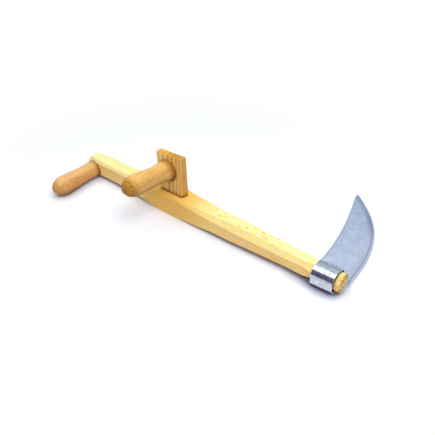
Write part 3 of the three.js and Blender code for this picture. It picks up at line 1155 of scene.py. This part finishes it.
@dataclass
class Peg:
    """A turned grip, waisted near its root and swelling to a round bulb, and the dowel that holds it."""

    name: str
    node: str
    root: float
    waist: float
    bulb: float
    foot: Vector
    surface: PegSurface
    carrier_bore: Pair
    rise: float = 0.0
    yaw: float = 0.0
    length: float = 37.0
    cope: float = 2.5
    waist_share: float = 0.3
    bulb_share: float = 0.74
    dowel: float = 5.0
    dowel_in: float = 12.0
    clearance: float = 0.5
    root_spare: float = 2.0
    seat_gap: float = 0.25
    segments: int = 96
    steps: int = 40
    end_steps: int = 24

    @property
    def matrix(self) -> Matrix:
        """Moves the peg from the origin, pointing along -Y, to its foot."""
        turn = Euler((math.radians(-self.rise), 0.0, math.radians(self.yaw)), "XYZ").to_matrix().to_4x4()
        return Matrix.Translation(self.foot) @ turn

    def droop_to(self, height: float) -> None:
        """Tilts the peg so that its bulb rests on the table, from the height of its foot."""
        self.rise = math.degrees(-math.asin((height - self.bulb / 2) / (self.length * self.bulb_share)))

    def profile(self) -> list[Pair]:
        """The turned profile.

        Returns:
            Radius and distance from the root, from the root's end to the tip.
        """
        waist, bulb = self.length * self.waist_share, self.length * self.bulb_share
        flanks = [
            (-self.cope, self.root / 2),
            (0.0, self.root / 2),
            (waist / 2, (self.root + self.waist) / 4),
            (waist, self.waist / 2),
            ((waist + bulb) / 2, (self.waist + self.bulb) / 4),
            (bulb, self.bulb / 2),
        ]
        places = [mix(-self.cope, bulb, k / self.steps) for k in range(self.steps)]
        rows = [(spline_value(flanks, place), place) for place in places]
        for k in range(self.end_steps + 1):
            turn = math.radians(90 * k / self.end_steps)
            rows.append((self.bulb / 2 * math.cos(turn), bulb + (self.length - bulb) * math.sin(turn)))
        return rows

    def body(self) -> bmesh.types.BMesh:
        """The turned form, closed at its root.

        Returns:
            The form, in its place.
        """
        bm = bmesh.new()
        rows = [(0.0, -self.cope), *self.profile()]
        rows[-1] = (0.0, self.length)
        verts = [bm.verts.new((radius, -place, 0.0)) for radius, place in rows]
        edges = [bm.edges.new(pair) for pair in zip(verts, verts[1:])]
        bmesh.ops.spin(
            bm, geom=verts + edges, cent=(0, 0, 0), axis=(0, 1, 0), angle=math.tau, steps=self.segments,
            use_merge=True,
        )
        bmesh.ops.remove_doubles(bm, verts=bm.verts, dist=1e-5)
        bmesh.ops.transform(bm, verts=bm.verts, matrix=self.matrix)
        return bm

    def hole(self, start: float, end: float) -> bmesh.types.BMesh:
        """What the dowel takes out between two places, measured towards the piece that carries the peg."""
        return barrel(self.dowel / 2 + self.seat_gap, start, end, self.matrix)

    def wood(self) -> Timber:
        """The finish that goes with the peg's surface.

        Returns:
            The finish.
        """
        if self.surface is PegSurface.SANDED_ROUGH:
            # Beech sanded rough is dull and a little fuzzy, and browner on the bulb, where end grain shows.
            return PegTimber(
                "beech, sanded rough", "#e9b769", "#ffce75", "#c08a28", "#e6d8c4", Grain.ALONG_Y,
                end_facing=(0.1, 0.5), root_reach=6.0, root_tone="#b8a27c",
            )
        # Rubbed smooth, the same beech has a soft gloss and a warmer, clearer tone.
        return PegTimber(
            "beech, rubbed smooth", "#e4ac66", "#f4c67f", "#dda558", "#ecdcc6", Grain.ALONG_Y,
            roughness=0.45, relief_mm=0.03, end_facing=(0.3, 0.8), fuzz_tone="#efe8de", root_y=-6.0,
        )

    def build(self, against: bmesh.types.BMesh) -> bpy.types.Object:
        """Builds the peg, coped to what carries it, and dresses it.

        Args:
            against: What the root is coped against.

        Returns:
            The peg.
        """
        piece = mesh_object(self.body(), self.name)
        cut_away(piece, against, self.hole(-self.dowel_in - self.clearance, self.cope + self.root_spare))
        dress(piece, 35, self.wood().material(), self.node)
        return piece


@dataclass
class Blade:
    """The crescent blade and the strap rolled round the shaft's neck, cut from one sheet."""

    shaft: Shaft
    sheet: float = 0.8
    lift: float = 0.5
    heel_overhang: float = 4.2
    setback: float = 0.5
    reach: float = 90.5
    sweep: float = 40.0
    rim: float = 3.6
    bead: float = 0.3
    rim_edge: float = 0.45
    rim_limit: float = 0.45
    grind: float = 1.2
    grind_edge: float = 0.35
    grind_limit: float = 0.2
    front_radius: float = 4.8
    back_radius: float = 5.6
    foot_radii: Pair = (3.0, 3.2)
    slack: float = 0.25
    far_rise: float = 0.3
    seam: float = 0.5
    ramp: Pair = (0.03, 0.12)
    rows: int = 150
    columns: int = 56
    bend_steps: int = 14
    strap_columns: int = 16
    back_curve: Table = ((0, 0), (-0.012, 0.365), (0.139, 0.725), (0.965, 1))
    edge_curve: Table = ((0.575, 0), (0.575, 0.395), (0.745, 0.655), (0.995, 0.985))
    # How far the rim is pressed down and how high its bead stands, from the back across to the flat sheet.
    rim_fall: Table = ((0, 1), (0.15, 0.55), (0.35, 0.1), (0.6, 0), (0.82, 0), (1, 0))
    rim_bead: Table = ((0, 0), (0.15, 0), (0.35, 0), (0.6, 1), (0.82, 0.8), (1, 0))
    # Each mark, with the ranges that it fades in over. The crease and the flank are painted shade, and rubbed
    # is a painted highlight on the rim's outer edge.
    wear_marks: tuple[tuple[str, tuple[tuple[Span, float, float], ...]], ...] = (
        ("crease", ((Span.TO_TIP, 0.0, 0.06), (Span.TO_TIP, 0.7, 0.45))),
        ("flank", ((Span.RIM, 1.5, 0.8), (Span.TO_TIP, 0.47, 0.72))),
        ("honed", ((Span.GRIND, 1.1, 0.5),)),
        ("blush", ((Span.FROM_BACK, 7.0, 3.0), (Span.TO_TIP, 0.05, 0.2), (Span.TO_TIP, 0.66, 0.5))),
        ("rubbed", ((Span.RIM, 0.38, 0.26), (Span.TO_TIP, 0.02, 0.14), (Span.TO_TIP, 0.75, 0.5))),
    )
    # Cold-rolled sheet keeps the thin oxide of its rolling, which makes the blade an even, satin blue-grey.
    steel: SheetSteel = SheetSteel()
    # Bending and rubbing has brightened the strap, which mirrors sharply between small dents and dark specks.
    # Its flat top and its underside are darkened with painted shade.
    strap_steel: SheetSteel = SheetSteel(
        "sheet steel, bent and rubbed bright", tone="#e6ecf1", cloud="#bec5cc", cloud_mm=1.8, roughness=0.24,
        dent_mm=0.006, score_share=(0.61, 0.7), under="#3c3a46", crown="#ccd3dc", worn=False,
    )

    def curve(self, shares: Sequence[Pair]) -> list[Vector]:
        """Control points in plan from shares of the sweep and the reach."""
        heel = self.shaft.neck_reach + self.shaft.strap_width + self.heel_overhang
        return [Vector((heel - self.sweep * x, mix(self.setback, self.reach, y))) for x, y in shares]

    @staticmethod
    def spread(u: float) -> float:
        """Sets the columns closer together along the blade's two edges."""
        return 0.4 * u + 0.6 * (3 * u**2 - 2 * u**3)

    def mark_wear(self, bm: bmesh.types.BMesh, back: Sequence[Vector], edge: Sequence[Vector]) -> None:
        """Writes to a unit slab how much of each mark shows, painted light too, and as inset how far the back
        is.

        Args:
            bm: The slab.
            back: The control points of the blade's back.
            edge: Those of its edge.
        """
        marks = [(bm.verts.layers.float.new(name), ranges) for name, ranges in self.wear_marks]
        inset = bm.verts.layers.float.new("inset")
        for vert in bm.verts:
            u, v, _ = vert.co
            chord = (bezier(edge, v) - bezier(back, v)).length
            away = chord * self.spread(u)
            reach = {
                Span.TO_TIP: v, Span.FROM_BACK: away, Span.RIM: away / self.rim,
                Span.GRIND: (chord - away) / self.grind,
            }
            vert[inset] = away
            for layer, ranges in marks:
                vert[layer] = math.prod(ease(low, high, reach[span]) for span, low, high in ranges)

    def crescent(self) -> bmesh.types.BMesh:
        """The blade from its root's shoulders to its tip.

        Returns:
            The blade, with its marks of wear and painted light.
        """
        back, edge = self.curve(self.back_curve), self.curve(self.edge_curve)
        bm = unit_slab(self.columns, self.rows)
        self.mark_wear(bm, back, edge)

        def place(u: float, v: float, side: float) -> Vector:
            """The place on the blade of a corner of the unit slab.

            Args:
                u: The share of the way from the back to the edge.
                v: The share of the way from the root to the tip.
                side: 0 on the lower face and 1 on the upper one.

            Returns:
                The place.
            """
            start, end = bezier(back, v), bezier(edge, v)
            chord = (end - start).length
            ramp = ease(*self.ramp, v)
            lift = self.lift * ramp
            rim = min(self.rim, chord * self.rim_limit)
            grind = min(self.grind, chord * self.grind_limit)
            away = chord * self.spread(u)
            height = 0.0
            if away < rim:
                fall = (lift + self.sheet - self.rim_edge) * spline_value(self.rim_fall, away / rim)
                raised = self.bead * ramp * spline_value(self.rim_bead, away / rim)
                height = (raised - fall) * (rim / self.rim)
            elif away > chord - grind:
                height = (self.grind_edge - self.sheet) * (away - chord + grind) / grind
            top = lift + self.sheet + height
            if side < 0.5:
                top = lift if away > rim else max(0.0, min(lift, top - self.sheet))
            point = start.lerp(end, self.spread(u))
            return Vector((point.x, point.y, top))

        shape(bm, place)
        return bm

    def strap(self) -> bmesh.types.BMesh:
        """The tab, rolled from the blade's root round the foot, up the front, over and down the back.

        Returns:
            The strap.
        """
        shaft, steps = self.shaft, self.bend_steps
        half = shaft.neck[0] / 2 + shaft.seat_gap + self.sheet
        top = shaft.neck[2] + shaft.neck[1] + shaft.seat_gap + self.sheet
        last = 3 * steps + 3
        bm = unit_slab(last, self.strap_columns)

        def place(u: float, v: float, side: float) -> Vector:
            """The place on the strap of a corner of the unit slab.

            Args:
                u: The share of the way round the shaft, from the blade's root.
                v: The share of the strap's width.
                side: 0 on the inner face and 1 on the outer one.

            Returns:
                The place.
            """
            depth = self.sheet * (1 - side)
            x = shaft.neck_reach + shaft.strap_width * v
            rise = self.far_rise * v
            front = -half - self.slack * (1 - v)
            foot = mix(*self.foot_radii, v)
            step = round(u * last)
            if step == 0:
                return Vector((x, self.setback, depth))
            if step == last:
                return Vector((x, half - depth, self.sheet + self.seam))
            corner, part = divmod(step - 1, steps + 1)
            y, z, radius, start = (
                (front + foot, rise + foot, foot, -90),
                (front + self.front_radius, top + rise - self.front_radius, self.front_radius, 180),
                (half - self.back_radius, top + rise - self.back_radius, self.back_radius, 90),
            )[corner]
            turn = math.radians(start - 90 * part / steps)
            return Vector((x, y + (radius - depth) * math.cos(turn), z + (radius - depth) * math.sin(turn)))

        shape(bm, place)
        return bm

    def build(self, bore: bmesh.types.BMesh) -> list[bpy.types.Object]:
        """Builds the blade and its strap, with the tack's hole, and dresses them.

        Args:
            bore: What the tack takes out.

        Returns:
            The strap and the blade.
        """
        strap = mesh_object(self.strap(), "blade_strap")
        cut_away(strap, bore)
        blade = mesh_object(self.crescent(), "blade_sheet")
        for piece, steel in ((strap, self.strap_steel), (blade, self.steel)):
            dress(piece, 35, steel.material(), "blade")
        return [strap, blade]


@dataclass
class Fastenings:
    """The two dowels and the tack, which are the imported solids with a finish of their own."""

    dowels: tuple[str, ...] = ("mid_grip_dowel", "end_grip_dowel")
    tack: str = "strap_tack"
    tack_shank: float = 1.5
    tack_share: float = 0.52
    tack_bore_span: Pair = (-7.5, 2.0)
    # Birch dowel is pale and fine-grained, with hardly any figure.
    dowel_wood: Timber = Timber("birch dowel", "#e8cb92", "#ecd29c", "#ddb67c", "#e8d9c2", Grain.ALONG_Y)
    # The tack's head is bright drawn steel, dulled by handling to a greyer shade than the strap.
    steel: SheetSteel = SheetSteel(
        "bright steel tack", tone="#c2c6cc", cloud="#9a9ea6", cloud_mm=0.8, worn=False
    )

    def tack_bore(self, blade: Blade) -> bmesh.types.BMesh:
        """What the tack takes out of the strap's back and the shaft.

        Args:
            blade: The blade that it holds.

        Returns:
            The bore.
        """
        shaft = blade.shaft
        middle = (
            shaft.neck_reach + shaft.strap_width / 2,
            shaft.neck[0] / 2 + shaft.seat_gap + blade.sheet,
            shaft.neck[2] + shaft.neck[1] * self.tack_share,
        )
        return barrel(self.tack_shank / 2, *self.tack_bore_span, Matrix.Translation(middle))

    def build(self) -> list[bpy.types.Object]:
        """Gives each solid its finish.

        Returns:
            The solids.
        """
        dressed = []
        for names, finish in ((self.dowels, self.dowel_wood), ((self.tack,), self.steel)):
            material = finish.material()
            for name in names:
                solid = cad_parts[name]
                solid.data.materials.clear()
                solid.data.materials.append(material)
                dressed.append(solid)
        return dressed


@dataclass
class Studio:
    """The white table, the wide soft lamps above it, what the steel mirrors, and the camera."""

    camera_mm: Triple = (210.98, -212.73, 210.45)
    azimuth: float = 39.35
    elevation: float = 36.11
    focal_pixels: float = 550.0
    frame_pixels: float = 435.0
    floor_size: float = 8.0
    # The table, in metres: how far a touching piece darkens it, how that grows and fades along X, where the
    # card turns to plain white, and where the card is painted dark for the steel to mirror.
    contact: float = 0.0075
    contact_open: Pair = (1.0, 0.4)
    contact_grows: Quad = (0.088, 0.109, 0.15, 1.0)
    contact_fades: Quad = (0.122, 0.13, 1.0, 0.3)
    card_ends: Pair = (0.12, 0.19)
    dusk_from: Pair = (-0.01, -0.028)
    glow: float = 0.03
    # The room, by the way that a ray goes from the object.
    backdrop: tuple[tuple[float, str], ...] = (
        (0.0, "#d0d5de"), (0.38, "#b0b7c5"), (0.57, "#ecf3fd"), (0.66, "#e2e9f2"), (0.82, "#8f98b0"),
    )
    right_side: Pair = (-0.25, 0.0)
    ceiling: Pair = (0.6, 0.72)
    back_side: Pair = (-0.3, 0.3)
    window: float = -0.33
    window_sides: Pair = (0.42, 0.25)
    window_back: Pair = (0.71, 0.1)
    window_sill: Pair = (0.64, 0.72)
    window_glare: float = 0.8
    room_light: float = 0.7
    lamps: tuple[tuple[str, float, float, Triple], ...] = (
        ("soft box overhead", 0.95, 2.42, (0.0, -0.06, 0.62)),
        ("key from the right", 0.38, 2.2, (0.34, -0.15, 0.65)),
        ("fill from the front", 0.5, 0.95, (0.32, -0.77, 0.36)),
    )

    def table(self) -> bpy.types.Object:
        """A white floor that keeps the object's shadow.

        Returns:
            The floor.
        """
        bm = bmesh.new()
        bmesh.ops.create_grid(bm, x_segments=1, y_segments=1, size=self.floor_size / 2 / MM)
        floor = mesh_object(bm, "table")
        # Matt white card shows soft shadows and no gloss. Past the object it turns to plain white.
        nodes = Nodes(bpy.data.materials.new("white card"))
        rays = nodes.add("LightPath").node.outputs
        seen = rays["Is Camera Ray"]
        for kind in ("Is Glossy Ray", "Is Transmission Ray"):
            seen = nodes.add("Math", {0: seen, 1: rays[kind]}, operation="ADD", use_clamp=True)
        # The camera sees a contact shade on the card, deepest round the strap and weak along the wood.
        open_air = nodes.add("AmbientOcclusion", {"Distance": self.contact}, samples=16).node.outputs["AO"]
        x, y, _ = nodes.axes
        contact = nodes.overlap(
            (open_air, *self.contact_open), (x, *self.contact_grows), (x, *self.contact_fades),
            (rays["Is Camera Ray"], 0.0, 1.0),
        )
        card = nodes.add("BsdfDiffuse", {"Color": nodes.lay("#f9faff", (contact, "#61678a"))})
        glow = nodes.add("Emission", {"Color": WHITE, "Strength": self.glow})
        shader = nodes.add("AddShader", {0: card, 1: glow})
        away = nodes.add("VectorMath", {0: nodes.place}, operation="LENGTH")
        far = nodes.overlap((away, *self.card_ends))
        white = nodes.add("Emission", {"Color": WHITE, "Strength": 1.0})
        # Glossy rays see the card painted dark in front of the object: a painted dark reflection for the
        # strap.
        ends = nodes.overlap((y, *self.dusk_from), (rays["Is Glossy Ray"], 0.0, 1.0))
        dusk = nodes.add("BsdfDiffuse", {"Color": "#4c4860"})
        for share, other in ((far, white), (ends, dusk)):
            shader = nodes.add("MixShader", {0: share, 1: shader, 2: other})
        bounce = nodes.add("BsdfDiffuse", {"Color": "#e2e2e6"})
        nodes.add("OutputMaterial", {"Surface": nodes.add("MixShader", {0: seen, 1: bounce, 2: shader})})
        floor.data.materials.append(nodes.owner)
        return floor

    def sky(self) -> None:
        """A dim room with a white backdrop low behind the table and a window high on the left for the steel
        to mirror; the camera sees white all round."""
        nodes = Nodes(bpy.data.worlds.new("studio"))
        way = nodes.add("TexCoord").node.outputs["Generated"]
        x, y, z = nodes.add("SeparateXYZ", {0: way}).node.outputs
        back = nodes.add("ValToRGB", {0: z}, ramp=self.backdrop)
        right, high = nodes.overlap((x, *self.right_side)), nodes.overlap((z, *self.ceiling))
        side = nodes.overlap((y, *self.back_side))
        off = nodes.add("Math", {0: x, 1: self.window}, operation="SUBTRACT")
        off = nodes.add("Math", {0: off}, operation="ABSOLUTE")
        pane = nodes.overlap((off, *self.window_sides), (y, *self.window_back), (z, *self.window_sill))
        rays = nodes.add("LightPath").node.outputs
        seen = {0: rays["Is Camera Ray"], 1: rays["Is Transmission Ray"]}
        seen = nodes.add("Math", seen, operation="ADD", use_clamp=True)
        colour = nodes.lay(
            "#625f77", (right, "#99a1b2"), (high, "#8f98b0"), (side, back), (pane, WHITE), (seen, WHITE)
        )
        glare = nodes.add("Math", {0: pane, 1: self.window_glare, 2: 1.0}, operation="MULTIPLY_ADD")
        mirrored = {0: rays["Is Glossy Ray"], 2: self.room_light, 3: glare}
        level = nodes.add("Mix", mirrored, data_type="FLOAT")
        level = nodes.add("Mix", {0: seen, 2: level, 3: 1.0}, data_type="FLOAT")
        sky = nodes.add("Background", {"Color": colour, "Strength": level})
        nodes.add("OutputWorld", {"Surface": sky})
        bpy.context.scene.world = nodes.owner

    def lamp(self, name: str, size: float, watts: float, place: Vector) -> bpy.types.Object:
        """A square soft lamp that faces the object.

        Args:
            name: Its name.
            size: Its side in metres.
            watts: Its power.
            place: Where it hangs, in metres.

        Returns:
            The lamp.
        """
        data = bpy.data.lights.new(name, "AREA")
        data.shape, data.size, data.energy = "SQUARE", size, watts
        lamp = bpy.data.objects.new(name, data)
        # The steel mirrors the painted room alone, because these wide lamps would turn it white.
        lamp.visible_glossy = False
        lamp.location = place
        lamp.rotation_euler = place.to_track_quat("Z", "Y").to_euler()
        bpy.context.scene.collection.objects.link(lamp)
        return lamp

    def camera(self) -> bpy.types.Object:
        """The camera at the photograph's viewing angle.

        Returns:
            The camera.
        """
        data = bpy.data.cameras.new("camera")
        data.sensor_width = 36.0
        data.lens = data.sensor_width * self.focal_pixels / self.frame_pixels
        data.clip_start, data.clip_end = 0.01, 20.0
        camera = bpy.data.objects.new("camera", data)
        camera.location = [value * MM for value in self.camera_mm]
        camera.rotation_euler = (math.radians(90 - self.elevation), 0.0, math.radians(self.azimuth))
        bpy.context.scene.collection.objects.link(camera)
        bpy.context.scene.camera = camera
        return camera

    def build(self) -> None:
        """Sets up the whole studio."""
        bpy.context.scene.view_settings.view_transform = "Standard"
        self.camera()
        self.table()
        self.sky()
        for name, size, watts, place in self.lamps:
            self.lamp(name, size, watts, Vector(place))


def main() -> None:
    """Builds the object's sub-assemblies in order and reports their pieces."""
    logging.basicConfig(level=logging.INFO, format="%(message)s")
    Studio().build()
    shaft, fastenings = Shaft(), Fastenings()
    plate = GripPlate(foot_z=shaft.swell[1], seat_gap=shaft.seat_gap)
    blade = Blade(shaft)
    x, z = MID_PEG_AT
    mid = Peg(
        "mid_peg", "mid_grip", root=14.0, waist=12.0, bulb=13.4, rise=5.0, surface=PegSurface.SANDED_ROUGH,
        foot=Vector((x, plate.setback - plate.thickness_at(z) / 2, z)), carrier_bore=(-2.0, 8.0),
    )
    x, z = BUTT_PEG_AT
    end = Peg(
        "butt_peg", "end_grip", root=12.0, waist=11.2, bulb=13.3, yaw=3.5, surface=PegSurface.RUBBED_SMOOTH,
        foot=Vector((x, -shaft.butt[0] / 2, z)), carrier_bore=(-2.0, 8.5),
    )
    end.droop_to(z)
    pieces = [
        shaft.build(plate.mortise(), end.hole(*end.carrier_bore), fastenings.tack_bore(blade)),
        plate.build(mid.hole(*mid.carrier_bore)),
        mid.build(plate.cope_form()),
        end.build(shaft.cope_form()),
        *blade.build(fastenings.tack_bore(blade)),
        *fastenings.build(),
    ]
    for piece in pieces:
        log.info("%s: %d faces", piece.name, len(piece.data.polygons))


if __name__ == "__main__":
    main()
